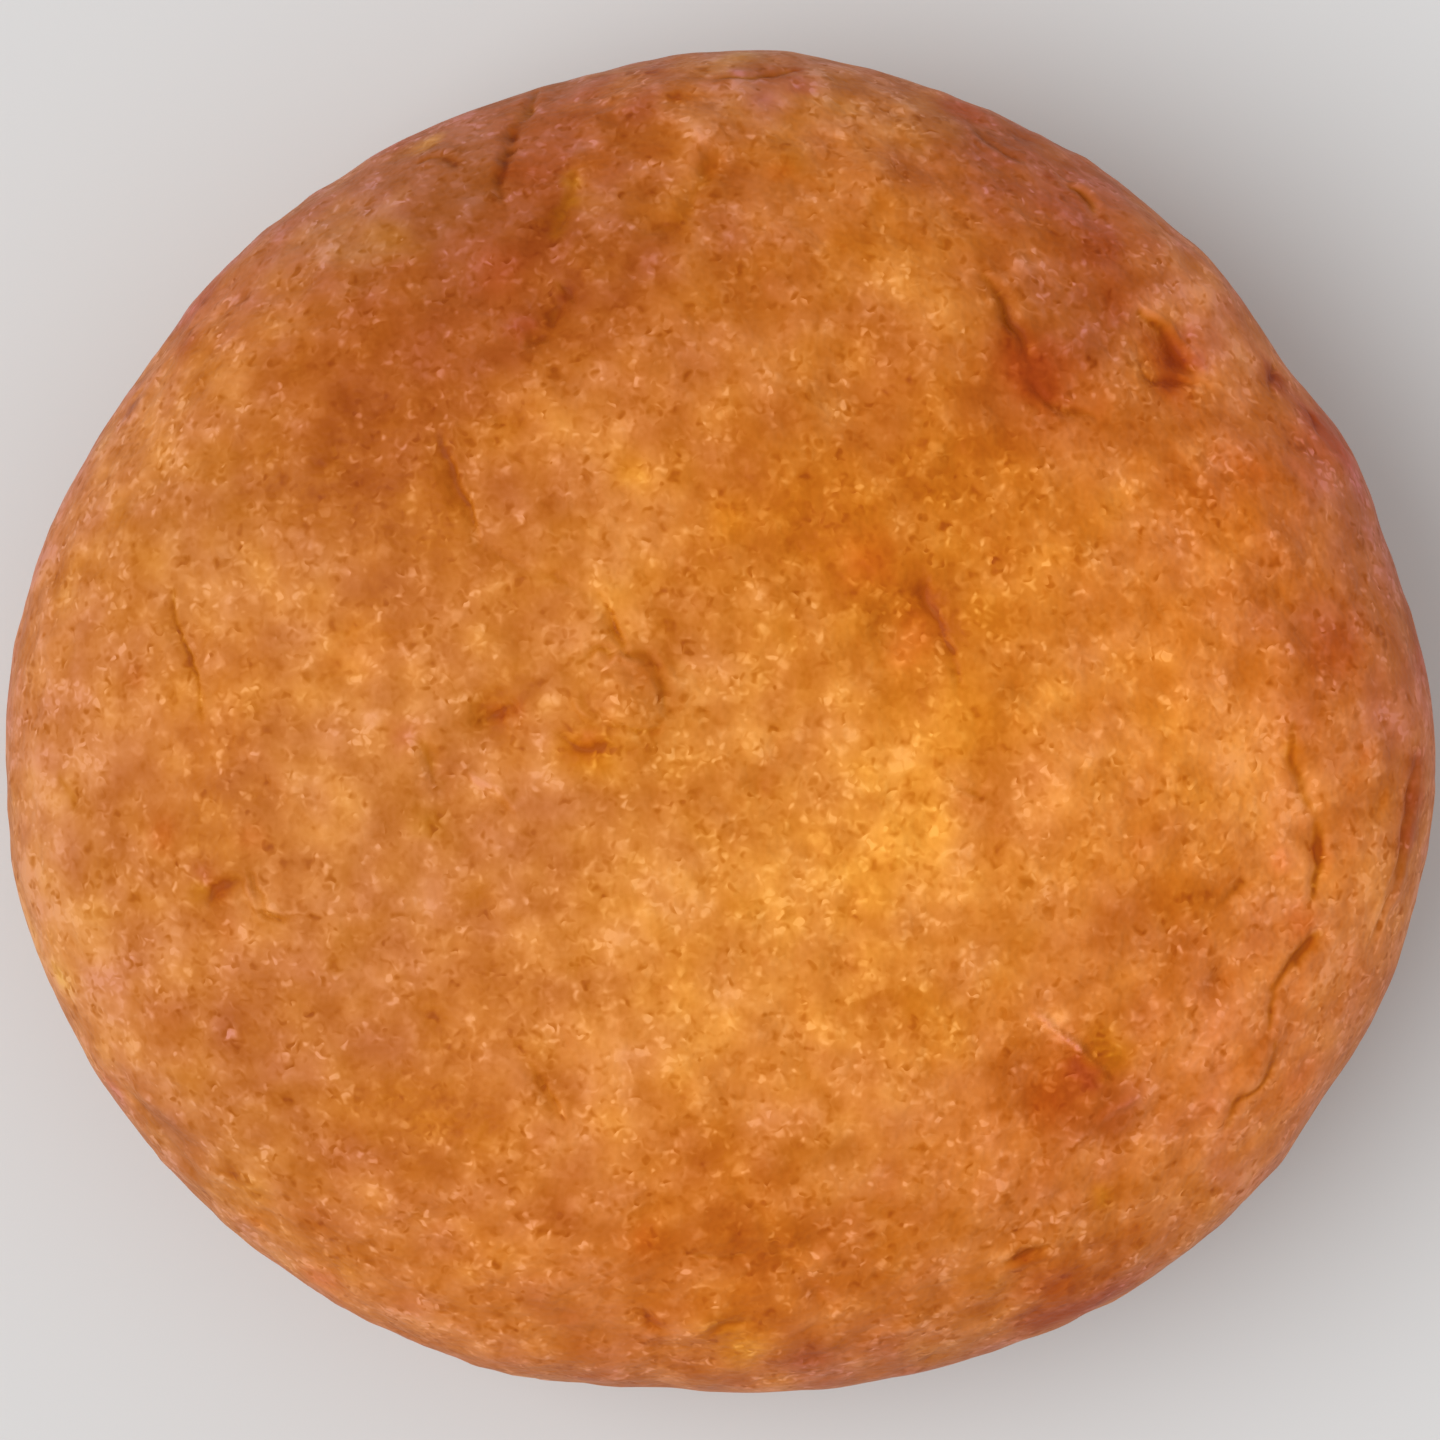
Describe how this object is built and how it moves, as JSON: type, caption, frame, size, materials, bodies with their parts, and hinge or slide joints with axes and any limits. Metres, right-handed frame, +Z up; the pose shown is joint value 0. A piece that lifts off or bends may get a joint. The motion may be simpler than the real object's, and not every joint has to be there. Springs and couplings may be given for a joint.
{
  "type": "vetkoek",
  "caption": "Round fried dough bun with a domed, creased and blistered golden brown crust and a flat spot underneath to rest on.",
  "frame": {"origin": "middle of the underside, at the level of the flat spot that the bun rests on", "axes": "+X along the bun's longest side, +Y across it, +Z up, out of the domed top"},
  "size_m": [0.105, 0.0988, 0.0458],
  "materials": {
    "fried_crust": "satin"
  },
  "bodies": {
    "root": {"vetkoek": "fried_crust"}
  },
  "joints": []
}
